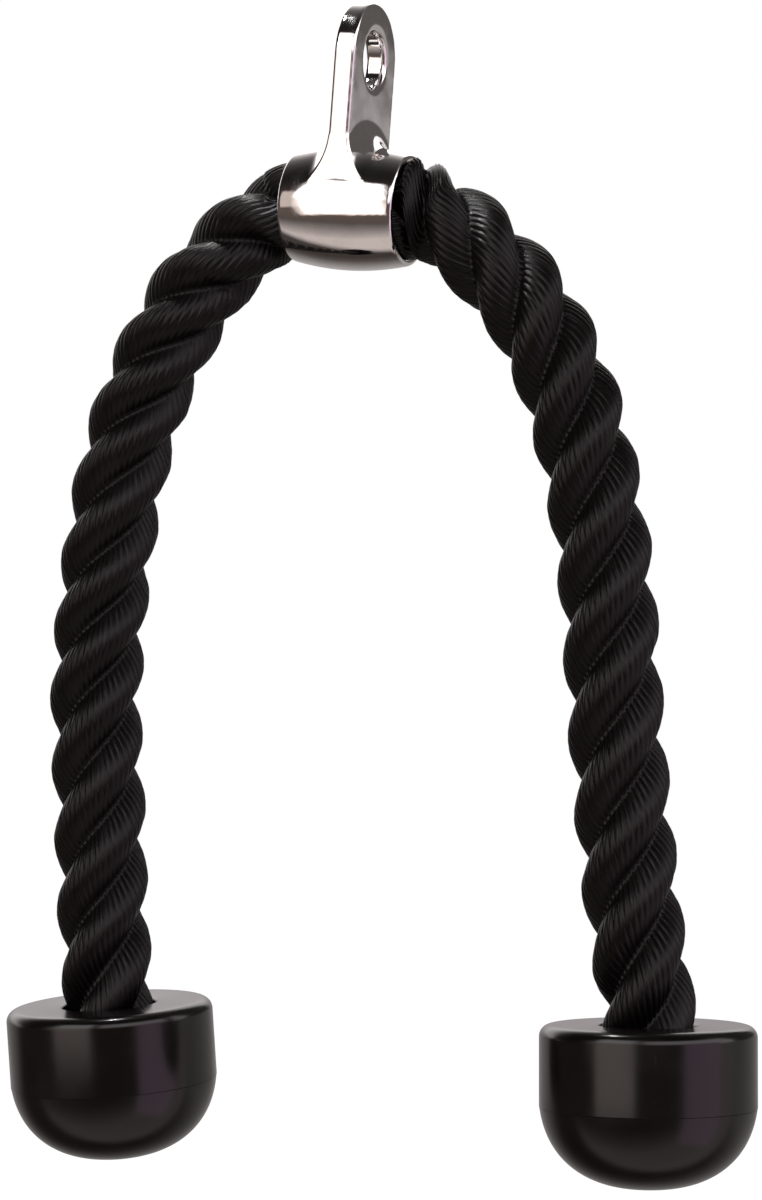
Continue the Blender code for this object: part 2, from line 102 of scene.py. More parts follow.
class NodeDesk:
    """A material or world tree, with short calls to add and link its nodes."""

    def __init__(self, tree: bpy.types.NodeTree) -> None:
        """Take a node tree and leave it empty."""
        self.tree = tree
        tree.nodes.clear()

    def feed(self, socket: Socket, value: object) -> None:
        """Link an output to an input, or set the input's own value.

        Args:
            socket: The input.
            value: An output, a number, a vector or a colour, or None to leave the input alone.
        """
        if isinstance(value, Socket):
            self.tree.links.new(value, socket)
        elif value is not None:
            socket.default_value = (*value, 1.0) if socket.type == "RGBA" else value

    def add(self, kind: str, feeds: Feeds | None = None, **settings: object) -> bpy.types.Node:
        """Add a node.

        Args:
            kind: The node's type, without its ShaderNode prefix.
            feeds: What goes into its inputs, by name or number.
            settings: Properties to set on the node.

        Returns:
            The new node.
        """
        node = self.tree.nodes.new("ShaderNode" + kind)
        for name, value in settings.items():
            setattr(node, name, value)
        for key, value in (feeds or {}).items():
            self.feed(node.inputs[key], value)
        return node

    def place(self) -> Socket:
        """Return the object's own coordinates."""
        return self.add("TexCoord").outputs["Object"]

    def maths(self, operation: str, *values: object) -> Socket:
        """Return the result of a Math node on outputs or numbers."""
        return self.add("Math", dict(enumerate(values)), operation=operation).outputs[0]

    def degrees(self, angle: Socket) -> Socket:
        """Return an angle in degrees."""
        return self.maths("MULTIPLY", angle, 180 / math.pi)

    def remap(
        self, value: object, low: float, high: float, start: float, end: float, smooth: bool = False
    ) -> Socket:
        """Return a value mapped from low..high to start..end, held at both ends."""
        feeds = dict(enumerate((value, low, high, start, end)))
        return self.add("MapRange", feeds, interpolation_type=EASE[smooth]).outputs[0]

    def noise(self, place: Socket, scale: float, detail: float = 2.0, rough: float = 0.5) -> Socket:
        """Return a noise pattern, from 0 to 1."""
        feeds = {"Vector": place, "Scale": scale, "Detail": detail, "Roughness": rough}
        return self.add("TexNoise", feeds).outputs[0]

    def blend(self, share: object, first: object, second: object, mode: str = "MIX") -> Socket:
        """Return two colours mixed by the share of the second."""
        feeds = {0: share, 6: first, 7: second}
        return self.add("Mix", feeds, data_type="RGBA", blend_type=mode).outputs[2]

    def bump(
        self, height: Socket, strength: float, depth: float, under: Socket | None = None
    ) -> Socket:
        """Return the normal of a height whose 1 is a depth in metres, over another bump if any."""
        feeds = {"Strength": strength, "Distance": depth, "Height": height, "Normal": under}
        return self.add("Bump", feeds).outputs[0]

    def stretched(self, place: Socket, scale: Triple) -> Socket:
        """Return coordinates scaled unevenly."""
        return self.add("Mapping", {"Vector": place, "Scale": scale}).outputs[0]

    def mixed(self, share: Socket, first: Socket, second: Socket) -> Socket:
        """Return two shaders mixed by the share of the second."""
        return self.add("MixShader", {0: share, 1: first, 2: second}).outputs[0]

    def seen(self, path: bpy.types.Node) -> Socket:
        """Return 1 on camera rays, also through something clear, and 0 on all others."""
        rays = path.outputs
        return self.maths("MAXIMUM", rays["Is Camera Ray"], rays["Is Transmission Ray"])


@dataclass(frozen=True)
class Finish:
    """A surface finish: what every finish of the attachment has."""

    name: str
    colour: Triple
    roughness: float
    metallic: float = 0.0
    specular: float = 0.5

    def material(self) -> bpy.types.Material:
        """Make the finish's material once and share it.

        Returns:
            The material.
        """
        found = bpy.data.materials.get(self.name)
        if found is not None:
            return found
        material = bpy.data.materials.new(self.name)
        material.use_nodes = True
        material.diffuse_color = (*self.colour, 1.0)
        desk = NodeDesk(material.node_tree)
        feeds = {"Base Color": self.colour, "Roughness": self.roughness}
        feeds |= {"Metallic": self.metallic, "Specular IOR Level": self.specular}
        shader = desk.add("BsdfPrincipled", feeds)
        self.detail(desk, shader)
        desk.add("OutputMaterial", {"Surface": self.surface(desk, shader)})
        return material

    def tinted(
        self, desk: NodeDesk, pattern: Socket, low: float, high: float, share: float
    ) -> Socket:
        """Return the colour, with a share of its brightness where a pattern is high."""
        other = tuple(part * share for part in self.colour)
        return desk.blend(desk.remap(pattern, low, high, 0, 1), self.colour, other)

    def surface(self, desk: NodeDesk, shader: bpy.types.Node) -> Socket:
        """Return what the material shows: its shader alone."""
        return shader.outputs[0]

    def detail(self, desk: NodeDesk, shader: bpy.types.Node) -> None:
        """Add the finish's own patterns to its shader."""
        raise NotImplementedError


@dataclass(frozen=True)
class Chrome(Finish):
    """Bright chrome on a polished casting, a little uneven, with fine wiping marks."""

    swell_scale: float = 70.0
    swell_height: float = 0.00018
    mark_scale: float = 900.0
    mark_stretch: Triple = (1.0, 1.0, 7.0)
    mark_height: float = 0.00002
    smear_scale: float = 160.0
    smear_dulling: float = 0.10
    smear_shade: float = 0.86

    def detail(self, desk: NodeDesk, shader: bpy.types.Node) -> None:
        """Add the casting's slow unevenness, a smear in the gloss and fine marks.

        Args:
            desk: The material's tree.
            shader: Its Principled shader.
        """
        place = desk.place()
        swell = desk.noise(place, self.swell_scale, 1.5, 0.4)
        marks = desk.noise(desk.stretched(place, self.mark_stretch), self.mark_scale, 3.0, 0.6)
        smear = desk.noise(place, self.smear_scale, 4.0, 0.6)
        low, high = self.roughness, self.roughness + self.smear_dulling
        desk.feed(shader.inputs["Roughness"], desk.remap(smear, 0.45, 0.8, low, high, True))
        shade = self.tinted(desk, smear, 0.4, 0.8, self.smear_shade)
        desk.feed(shader.inputs["Base Color"], shade)
        rolled = desk.bump(swell, 1.0, self.swell_height)
        desk.feed(shader.inputs["Normal"], desk.bump(marks, 0.05, self.mark_height, rolled))


@dataclass(frozen=True)
class RopeYarn(Finish):
    """Black spun yarn, with fibres along each yarn and no two yarns quite the same tone."""

    fibre_stretch: Triple = (7.0, 260.0, 1.0)
    fibre_height: float = 0.00010
    tone_stretch: Triple = (0.9, 14.0, 1.0)
    tone_share: float = 1.9
    tip_share: float = 3.2
    tip_cover: float = 0.6
    fuzz_scale: float = 1500.0
    fuzz_height: float = 0.00006

    def detail(self, desk: NodeDesk, shader: bpy.types.Node) -> None:
        """Add the fibres with their lighter tips, the tone of each yarn and a fine fuzz.

        Args:
            desk: The material's tree.
            shader: Its Principled shader.
        """
        along = desk.add("UVMap", uv_map=CHART).outputs["UV"]
        fibre = desk.noise(desk.stretched(along, self.fibre_stretch), 1.0, 3.0, 0.65)
        tone = desk.noise(desk.stretched(along, self.tone_stretch), 1.0, 1.0)
        fuzz = desk.noise(desk.place(), self.fuzz_scale, 3.0, 0.7)
        body = self.tinted(desk, tone, 0.35, 0.7, self.tone_share)
        tips = tuple(part * self.tip_share for part in self.colour)
        shown = desk.blend(desk.remap(fibre, 0.52, 0.85, 0, self.tip_cover), body, tips)
        desk.feed(shader.inputs["Base Color"], shown)
        low, high = self.roughness - 0.08, self.roughness + 0.16
        desk.feed(shader.inputs["Roughness"], desk.remap(fibre, 0.3, 0.7, low, high))
        fine = desk.bump(fuzz, 0.35, self.fuzz_height)
        desk.feed(shader.inputs["Normal"], desk.bump(fibre, 0.8, self.fibre_height, fine))


@dataclass(frozen=True)
class MouldedRubber(Finish):
    """Hard black rubber with a satin gloss, fine grain and faint scuffs."""

    grain_scale: float = 2600.0
    grain_height: float = 0.00004
    cloud_scale: float = 55.0
    cloud_share: float = 1.7
    scuff_scale: float = 700.0
    scuff_stretch: Triple = (1.0, 1.0, 0.12)
    scuff_dulling: float = 0.10

    def detail(self, desk: NodeDesk, shader: bpy.types.Node) -> None:
        """Add the grain, the scuffs and a slow change in the gloss.

        Args:
            desk: The material's tree.
            shader: Its Principled shader.
        """
        place = desk.place()
        grain = desk.noise(place, self.grain_scale, 2.0, 0.5)
        cloud = desk.noise(place, self.cloud_scale, 4.0, 0.6)
        scuff = desk.noise(desk.stretched(place, self.scuff_stretch), self.scuff_scale, 4.0, 0.75)
        gloss = desk.maths("ADD", desk.remap(cloud, 0.3, 0.7, -0.03, 0.05), self.roughness)
        worn = desk.maths("ADD", gloss, desk.remap(scuff, 0.6, 0.8, 0.0, self.scuff_dulling))
        desk.feed(shader.inputs["Roughness"], worn)
        light = self.tinted(desk, cloud, 0.4, 0.75, self.cloud_share)
        desk.feed(shader.inputs["Base Color"], light)
        desk.feed(shader.inputs["Normal"], desk.bump(grain, 0.12, self.grain_height))


@dataclass(frozen=True)
class PlainMetal(Finish):
    """Plated or drawn steel with turned marks, for the pieces inside the end stops."""

    turning_scale: float = 6000.0
    turning_stretch: Triple = (0.05, 0.05, 1.0)
    turning_height: float = 0.00002
    patch_scale: float = 240.0
    patch_share: float = 0.7
    patch_dulling: float = 0.15

    def detail(self, desk: NodeDesk, shader: bpy.types.Node) -> None:
        """Add turned marks and a patchy plating.

        Args:
            desk: The material's tree.
            shader: Its Principled shader.
        """
        place = desk.place()
        turning = desk.noise(desk.stretched(place, self.turning_stretch), self.turning_scale, 2.0)
        patch = desk.noise(place, self.patch_scale, 4.0, 0.6)
        dull = self.tinted(desk, patch, 0.4, 0.7, self.patch_share)
        desk.feed(shader.inputs["Base Color"], dull)
        low, high = self.roughness, self.roughness + self.patch_dulling
        desk.feed(shader.inputs["Roughness"], desk.remap(patch, 0.3, 0.7, low, high))
        desk.feed(shader.inputs["Normal"], desk.bump(turning, 0.2, self.turning_height))


@dataclass(frozen=True)
class StudioPaint(Finish):
    """The pale floor: plain white to the camera, and a soft catch for the object's shadow."""

    grain_scale: float = 40.0
    grain_dulling: float = 0.05
    veil: float = 0.86
    glow: float = 1.07

    def surface(self, desk: NodeDesk, shader: bpy.types.Node) -> Socket:
        """Lay a white veil over the paint, for the camera alone.

        Args:
            desk: The material's tree.
            shader: Its Principled shader.

        Returns:
            The veiled paint.
        """
        share = desk.maths("MULTIPLY", desk.seen(desk.add("LightPath")), self.veil)
        glow = desk.add("Emission", {"Strength": self.glow})
        return desk.mixed(share, shader.outputs[0], glow.outputs[0])

    def detail(self, desk: NodeDesk, shader: bpy.types.Node) -> None:
        """Add a faint grain to the paint.

        Args:
            desk: The material's tree.
            shader: Its Principled shader.
        """
        grain = desk.noise(desk.place(), self.grain_scale, 3.0)
        low, high = self.roughness, self.roughness + self.grain_dulling
        desk.feed(shader.inputs["Roughness"], desk.remap(grain, 0.3, 0.7, low, high))


CHROME = Chrome("polished_chrome", (0.86, 0.845, 0.84), 0.045, 1.0)
YARN = RopeYarn("spun_yarn", (0.0013, 0.0009, 0.0008), 0.31, 0.0, 0.21)
RUBBER = MouldedRubber("satin_rubber", (0.0020, 0.0013, 0.0012), 0.20, 0.0, 0.45)
ZINC = PlainMetal("washer_zinc", (0.60, 0.61, 0.62), 0.28, 1.0)
STEEL = PlainMetal("ferrule_steel", (0.45, 0.45, 0.46), 0.34, 1.0)
PAPER = StudioPaint("floor_paint", (0.92, 0.92, 0.92), 0.85)


def wear(obj: bpy.types.Object, finish: Finish) -> None:
    """Give a piece one finish all over.

    Args:
        obj: The piece.
        finish: Its finish.
    """
    material = finish.material()
    if not obj.data.materials:
        obj.data.materials.append(material)
    for slot in obj.material_slots:
        slot.material = material


# Hand tools


class Bench:
    """The modelling steps that the turned and cast pieces share."""

    @staticmethod
    def clear() -> None:
        """Leave nothing selected."""
        if bpy.context.object is not None and bpy.context.object.mode != "OBJECT":
            bpy.ops.object.mode_set(mode="OBJECT")
        bpy.ops.object.select_all(action="DESELECT")

    @staticmethod
    def pick(obj: bpy.types.Object) -> None:
        """Select one object alone and make it active.

        Args:
            obj: The object.
        """
        Bench.clear()
        obj.select_set(True)
        bpy.context.view_layer.objects.active = obj

    @staticmethod
    def show(name: str, data: bpy.types.ID) -> bpy.types.Object:
        """Put a mesh, a lamp or a camera in the scene.

        Args:
            name: The object's name.
            data: What it shows.

        Returns:
            The object.
        """
        obj = bpy.data.objects.new(name, data)
        bpy.context.scene.collection.objects.link(obj)
        return obj

    @staticmethod
    def turned(name: str, profile: list[Point], steps: int, closed: bool) -> bpy.types.Object:
        """Turn a profile about Z, as on a lathe.

        Args:
            name: The piece's name.
            profile: Its (radius, height) points in order.
            steps: How many steps the full turn has.
            closed: True where the profile's end joins its start.

        Returns:
            The turned piece, with its faces out.
        """
        Bench.clear()
        first = profile[0]
        place = (first[0], 0, first[1])
        bpy.ops.mesh.primitive_circle_add(vertices=3, radius=0.001, location=place)
        obj = bpy.context.object
        obj.name = name
        obj.data.name = name
        bpy.ops.object.mode_set(mode="EDIT")
        bpy.ops.mesh.select_mode(type="VERT")
        bpy.ops.mesh.merge(type="CENTER")
        path = profile[1:] + ([first] if closed else [])
        last = first
        for radius, height in path:
            step = (radius - last[0], 0, height - last[1])
            bpy.ops.mesh.extrude_region_move(TRANSFORM_OT_translate={"value": step})
            last = (radius, height)
        bpy.ops.mesh.select_all(action="SELECT")
        bpy.ops.mesh.spin(steps=steps, angle=math.tau, center=(0, 0, 0), axis=(0, 0, 1))
        bpy.ops.mesh.select_all(action="SELECT")
        bpy.ops.mesh.remove_doubles(threshold=0.00001)
        bpy.ops.mesh.select_all(action="SELECT")
        bpy.ops.mesh.normals_make_consistent(inside=False)
        bpy.ops.object.mode_set(mode="OBJECT")
        return obj

    @staticmethod
    def modify(obj: bpy.types.Object, kind: str, **settings: object) -> None:
        """Add a modifier and apply it.

        Args:
            obj: The piece.
            kind: The modifier's type.
            settings: Properties to set on it.
        """
        Bench.pick(obj)
        modifier = obj.modifiers.new(kind.lower(), kind)
        for name, value in settings.items():
            setattr(modifier, name, value)
        bpy.ops.object.modifier_apply(modifier=modifier.name)

    @staticmethod
    def combine(obj: bpy.types.Object, tool: bpy.types.Object, operation: str) -> None:
        """Join, cut or intersect a piece with another solid, and put that one away."""
        Bench.modify(obj, "BOOLEAN", operation=operation, object=tool, solver="EXACT")
        bpy.data.objects.remove(tool)

    @staticmethod
    def place(obj: bpy.types.Object, where: Matrix) -> None:
        """Move a piece to its place, and put that place in its mesh.

        Args:
            obj: The piece.
            where: Its place.
        """
        Bench.pick(obj)
        obj.matrix_world = where @ obj.matrix_world
        bpy.ops.object.transform_apply(location=True, rotation=True, scale=True)

    @staticmethod
    def smooth(obj: bpy.types.Object, limit: float) -> None:
        """Shade a piece smooth, apart from edges sharper than a limit in radians."""
        Bench.pick(obj)
        bpy.ops.object.shade_smooth_by_angle(angle=limit)


def arc(centre: Point, radius: float, start: float, end: float, steps: int) -> list[Point]:
    """Return points on an arc.

    Args:
        centre: Its centre.
        radius: Its radius.
        start: Its first angle, in degrees.
        end: Its last angle, in degrees.
        steps: How many steps it has.

    Returns:
        The points, both ends included.
    """
    points = []
    for i in range(steps + 1):
        angle = math.radians(start + (end - start) * i / steps)
        points.append((centre[0] + radius * math.cos(angle), centre[1] + radius * math.sin(angle)))
    return points


# The rope


@dataclass
class LaidRope:
    """How the three-strand rope is laid, and the mesh of a length of it."""

    radius: float = 0.0145
    strands: int = 3
    strand_share: float = 0.57
    lay: Lay = Lay.Z_LAY
    yarns_seen: int = 14
    points_per_yarn: int = 6
    yarn_lay: float = 0.0370
    yarn_depth: float = 0.00042
    back_power: float = 0.6
    rough_share: float = 0.22
    rough_least: float = 0.25
    rings_per_knot: int = 14
    crown_power: int = 3
    ring_spacing: float = 0.0010
    seed: int = 7

    @property
    def ball(self) -> float:
        """The radius of one strand."""
        return self.radius * self.strand_share

    @property
    def offset(self) -> float:
        """How far a strand's centre lies from the rope's."""
        return self.radius - self.ball

    @property
    def reach(self) -> float:
        """Half the angle, about a strand's own centre, of the part of it that shows.

        Returns:
            The half angle, in radians.
        """
        half = math.pi / self.strands
        edge = self.offset * math.cos(half)
        edge += math.sqrt(self.ball**2 - (self.offset * math.sin(half)) ** 2)
        return math.atan2(edge * math.sin(half), edge * math.cos(half) - self.offset)

    def section(
        self, turn: float, drift: float, swell: float, lift: np.ndarray
    ) -> tuple[np.ndarray, np.ndarray]:
        """Return one ring of the rope.

        Args:
            turn: The angle of the first strand's centre.
            drift: How far the yarns have turned, in strands.
            swell: How much thicker the rope is here than its plain radius.
            lift: The height of each point over its strand's plain surface.

        Returns:
            The ring's angles and radii about the rope's centre line.
        """
        count = len(lift)
        place = (np.arange(count) * self.strands / count - drift) % self.strands
        strand = np.floor(place)
        about = (place - strand - 0.5) * 2 * self.reach
        ball = self.ball * swell - self.yarn_depth + lift
        across = self.offset * swell + ball * np.cos(about)
        aside = ball * np.sin(about)
        share = np.arctan2(aside, across)
        angle = turn + strand * math.tau / self.strands + share
        return angle, np.hypot(across, aside)

    def lifts(self, rings: int) -> np.ndarray:
        """Return the height of each point of each ring, from the round backs of the yarns.

        Args:
            rings: How many rings there are.

        Returns:
            An array of rings by points.
        """
        dice = np.random.default_rng(self.seed)
        yarns = self.yarns_seen * self.strands
        back = np.sin(np.pi * np.arange(self.points_per_yarn) / self.points_per_yarn)
        back = back**self.back_power
        ridge = np.tile(back, yarns) * self.yarn_depth
        knots = max(4, rings // self.rings_per_knot)
        rough = dice.normal(0.0, 1.0, (knots, yarns))
        at = np.linspace(0, knots - 1, rings)
        slow = np.array([np.interp(at, np.arange(knots), rough[:, k]) for k in range(yarns)]).T
        slow = np.repeat(slow, self.points_per_yarn, axis=1)
        ends = np.tile(np.maximum(back, self.rough_least), yarns)
        return ridge[None, :] + slow * ends[None, :] * self.yarn_depth * self.rough_share

    def mesh(
        self,
        name: str,
        line: np.ndarray,
        turns: np.ndarray,
        drifts: np.ndarray,
        swells: np.ndarray,
        crowns: np.ndarray,
    ) -> bpy.types.Object:
        """Make a closed length of rope along a line.

        Args:
            name: The piece's name.
            line: The centre line's points, evenly spaced.
            turns: The first strand's angle at each point.
            drifts: How far the yarns have turned at each point, in strands.
            swells: How much thicker the rope is than its plain radius at each point.
            crowns: How much further its upper side bulges at each point.

        Returns:
            The rope's mesh object.
        """
        run = np.gradient(line, axis=0)
        run /= np.linalg.norm(run, axis=1)[:, None]
        ahead = np.array([0.0, -1.0, 0.0])
        front = ahead - (run @ ahead)[:, None] * run
        front /= np.linalg.norm(front, axis=1)[:, None]
        side = np.cross(run, front)
        rings = len(line)
        lifts = self.lifts(rings)
        count = lifts.shape[1]
        points = np.zeros((rings, count, 3))
        for i in range(rings):
            angle, radius = self.section(turns[i], drifts[i], swells[i], lifts[i])
            out = np.cos(angle)[:, None] * front[i] + np.sin(angle)[:, None] * side[i]
            radius = radius * (1.0 + crowns[i] * np.maximum(out[:, 2], 0.0) ** self.crown_power)
            points[i] = line[i] + out * radius[:, None]
        flat = points.reshape(-1, 3)
        verts = np.vstack([flat, line[0], line[-1]])
        faces, corners = self.skin(rings, count)
        data = bpy.data.meshes.new(name)
        data.from_pydata(verts.tolist(), [], faces)
        chart = data.uv_layers.new(name=CHART)
        length = self.ring_spacing * (rings - 1)
        spread = np.array(corners, float)
        spread[:, 0] /= self.points_per_yarn
        spread[:, 1] *= length / max(1, rings - 1)
        chart.data.foreach_set("uv", spread.ravel())
        data.update()
        data.shade_smooth()
        return Bench.show(name, data)

    @staticmethod
    def skin(rings: int, count: int) -> tuple[list[tuple[int, ...]], list[Point]]:
        """Make the faces of a tube with closed ends, and place their corners on the yarn chart.

        Args:
            rings: How many rings the tube has.
            count: How many points each ring has.

        Returns:
            The faces, and each face corner's column and ring.
        """
        faces: list[tuple[int, ...]] = []
        corners: list[Point] = []
        for i in range(rings - 1):
            near, far = i * count, (i + 1) * count
            for j in range(count):
                k = (j + 1) % count
                faces.append((near + j, near + k, far + k, far + j))
                corners += [(j, i), (j + 1, i), (j + 1, i + 1), (j, i + 1)]
        start, end = rings * count, rings * count + 1
        foot = (rings - 1) * count
        for j in range(count):
            k = (j + 1) % count
            faces.append((k, j, start))
            corners += [(j + 1, 0), (j, 0), (j + 0.5, 0)]
            faces.append((foot + j, foot + k, end))
            corners += [(j, rings - 1), (j + 1, rings - 1), (j + 0.5, rings - 1)]
        return faces, corners


@dataclass
class Sleeve:
    """Where the hanger's sleeve is: its axis, its centre and its length."""

    lean: float = math.radians(4.5)
    drop: float = 0.0460
    length: float = 0.0380

    @property
    def turn(self) -> Matrix:
        """The hanger's lean."""
        return Matrix.Rotation(self.lean, 4, "Y")

    @property
    def axis(self) -> Vector:
        """The sleeve's axis."""
        return self.turn @ Vector((1, 0, 0))

    @property
    def centre(self) -> Vector:
        """The sleeve's middle."""
        return self.turn @ Vector((0, 0, -self.drop))

    def mouth(self, side: Side) -> Vector:
        """Return the middle of one of the sleeve's mouths."""
        return self.centre + self.axis * (side.value * self.length / 2)


@dataclass
class RopeLeg:
    """One leg of the rope, from inside the sleeve to its end in the stop."""

    side: Side
    route: list[Point]
    stop_lean: float
    stop_tilt: float
    lay_length: float
    first_groove: float
    extra_turns: list[Point]
    swell: list[Point]
    crown: list[Point] = field(default_factory=lambda: [(0.0, 0.0), (1.0, 0.0)])
    sag: list[Point] = field(default_factory=lambda: [(0.0, 0.0), (1.0, 0.0)])
    rope: LaidRope = field(default_factory=LaidRope)
    sleeve: Sleeve = field(default_factory=Sleeve)
    depth: float = 0.0090
    mouth_lead: float = 0.0035
    stop_lead: float = 0.0080
    rope_end: float = 0.0323
    curve_samples: int = 24
    fine_spacing: float = 0.0005
    ease: float = 0.0055
    blend_ease: float = 0.0008
    blend_samples: int = 13
    path_step: int = 3
    bend_start: float = 0.0265
    bend_end: float = 0.1150

    @property
    def stop_turn(self) -> Matrix:
        """How the end stop hangs."""
        lean = Matrix.Rotation(math.radians(self.stop_lean), 4, "Y")
        return lean @ Matrix.Rotation(math.radians(self.stop_tilt), 4, "X")

    @property
    def stop_place(self) -> Matrix:
        """The end stop's frame, with the middle of its top face at the origin."""
        x, z = self.route[-1]
        return Matrix.Translation((x, 0, z)) @ self.stop_turn

    def centre_line(self) -> np.ndarray:
        """Make the leg's centre line.

        Returns:
            Its evenly spaced points.
        """
        outward = self.sleeve.axis * self.side.value
        mouth = self.sleeve.mouth(self.side)
        down = self.stop_turn @ Vector((0, 0, -1))
        top = Vector((self.route[-1][0], 0, self.route[-1][1]))
        marks = [mouth - outward * self.depth, mouth, mouth + outward * self.mouth_lead]
        marks += [Vector((x, 0, z)) for x, z in self.route[:-1]]
        marks += [top - down * self.stop_lead, top, top + down * self.rope_end]
        dense = np.array([tuple(point) for point in self.curve(marks)])
        line = self.eased(self.even(dense, self.fine_spacing))
        line = self.even(line, self.rope.ring_spacing)
        line[:, 2] -= self.along(self.lengths(line), self.sag)
        return self.even(line, self.rope.ring_spacing)

    @staticmethod
    def lengths(line: np.ndarray) -> np.ndarray:
        """Return the length of a line up to each of its points."""
        steps = np.linalg.norm(np.diff(line, axis=0), axis=1)
        return np.concatenate([[0.0], np.cumsum(steps)])

    def along(self, lengths: np.ndarray, marks: list[Point]) -> np.ndarray:
        """Work out a value that changes smoothly along the leg.

        Args:
            lengths: Where it is wanted, as lengths from the leg's start.
            marks: Its (length, value) points.

        Returns:
            The value at each of the lengths.
        """
        places, values = np.array(marks).T
        reach = np.linspace(-TAIL, TAIL, self.blend_samples)
        weights = np.exp(-0.5 * reach**2)
        weights /= weights.sum()
        near = [np.interp(lengths + offset * self.blend_ease, places, values) for offset in reach]
        return np.tensordot(weights, np.array(near), axes=1)

    def curve(self, marks: list[Vector]) -> list[Vector]:
        """Lay a dense line on a centripetal Catmull-Rom curve.

        Args:
            marks: The points that it goes through.

        Returns:
            The line's points.
        """
        padded = [marks[0] * 2 - marks[1]] + marks + [marks[-1] * 2 - marks[-2]]
        dense = []
        for i in range(1, len(padded) - 2):
            a, b, c, d = padded[i - 1 : i + 3]
            knot_1 = math.sqrt((b - a).length)
            knot_2 = knot_1 + math.sqrt((c - b).length)
            knot_3 = knot_2 + math.sqrt((d - c).length)
            for step in range(self.curve_samples):
                at = knot_1 + (knot_2 - knot_1) * step / self.curve_samples
                a_1 = a.lerp(b, at / knot_1)
                a_2 = b.lerp(c, (at - knot_1) / (knot_2 - knot_1))
                a_3 = c.lerp(d, (at - knot_2) / (knot_3 - knot_2))
                b_1 = a_1.lerp(a_2, at / knot_2)
                b_2 = a_2.lerp(a_3, (at - knot_1) / (knot_3 - knot_1))
                dense.append(b_1.lerp(b_2, (at - knot_1) / (knot_2 - knot_1)))
        dense.append(marks[-1])
        return dense

    @staticmethod
    def even(line: np.ndarray, spacing: float) -> np.ndarray:
        """Space a line's points evenly.

        Args:
            line: The line's points.
            spacing: About how far apart the new ones are.

        Returns:
            The new points.
        """
        lengths = RopeLeg.lengths(line)
        places = np.linspace(0.0, lengths[-1], max(2, round(lengths[-1] / spacing)) + 1)
        return np.array([np.interp(places, lengths, line[:, k]) for k in range(3)]).T

    def eased(self, line: np.ndarray) -> np.ndarray:
        """Ease the bends of a line, as stiff rope takes them.

        Args:
            line: Evenly spaced points.

        Returns:
            As many points, on the eased line.
        """
        spacing = float(np.linalg.norm(line[1] - line[0]))
        reach = round(TAIL * self.ease / spacing)
        offsets = np.arange(-reach, reach + 1)
        weights = np.exp(-0.5 * (offsets * spacing / self.ease) ** 2)
        weights /= weights.sum()
        ahead = line[0] - (line[1] - line[0]) * np.arange(reach, 0, -1)[:, None]
        after = line[-1] + (line[-1] - line[-2]) * np.arange(1, reach + 1)[:, None]
        padded = np.vstack([ahead, line, after])
        return np.array([np.convolve(padded[:, k], weights, "valid") for k in range(3)]).T

    def build(self) -> None:
        """Make the leg, and hide the imported nodes that it takes the place of."""
        line = self.centre_line()
        lengths = self.lengths(line)
        extra = self.along(lengths, self.extra_turns)
        lay = self.rope.lay.value
        groove = self.first_groove + lay * 360.0 * lengths / self.lay_length + extra
        turns = np.radians(groove) + math.pi / self.rope.strands
        drifts = lay * math.tau * lengths / self.rope.yarn_lay / (2 * self.rope.reach)
        swells = self.along(lengths, self.swell)
        crowns = self.along(lengths, self.crown)
        word = self.side.word
        leg = self.rope.mesh(word + "_rope", line, turns, drifts, swells, crowns)
        wear(leg, YARN)
        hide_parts(word + "_rope_neck", word + "_rope_leg", word + "_rope_end")
        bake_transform(leg)
        tuple(self.sleeve.mouth(self.side))
        points = len(leg.data.vertices)
        LOG.info("%s: %d points, %.1f mm long", leg.name, points, lengths[-1] * 1000)


@dataclass
class RopeCore:
    """The middle of the rope, held in the sleeve."""

    half: float = 0.0097
    rope: LaidRope = field(default_factory=LaidRope)
    sleeve: Sleeve = field(default_factory=Sleeve)
    lay_length: float = 0.0675

    def build(self) -> None:
        """Make the middle of the rope."""
        axis, centre = self.sleeve.axis, self.sleeve.centre
        count = round(2 * self.half / self.rope.ring_spacing)
        places = np.linspace(-self.half, self.half, count + 1)
        line = np.array([tuple(centre + axis * float(place)) for place in places])
        turns = math.tau * places / self.lay_length
        drifts = math.tau * places / self.rope.yarn_lay / (2 * self.rope.reach)
        plain = np.ones(count + 1)
        core = self.rope.mesh("rope_middle", line, turns, drifts, plain, plain * 0.0)
        wear(core, YARN)
        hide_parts("rope_core")
        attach(core, "hanger")
        LOG.info("%s: %d points", core.name, len(core.data.vertices))


# The hanger

ACROSS = Matrix.Rotation(math.pi / 2, 4, "Y")  # turns Z on to X


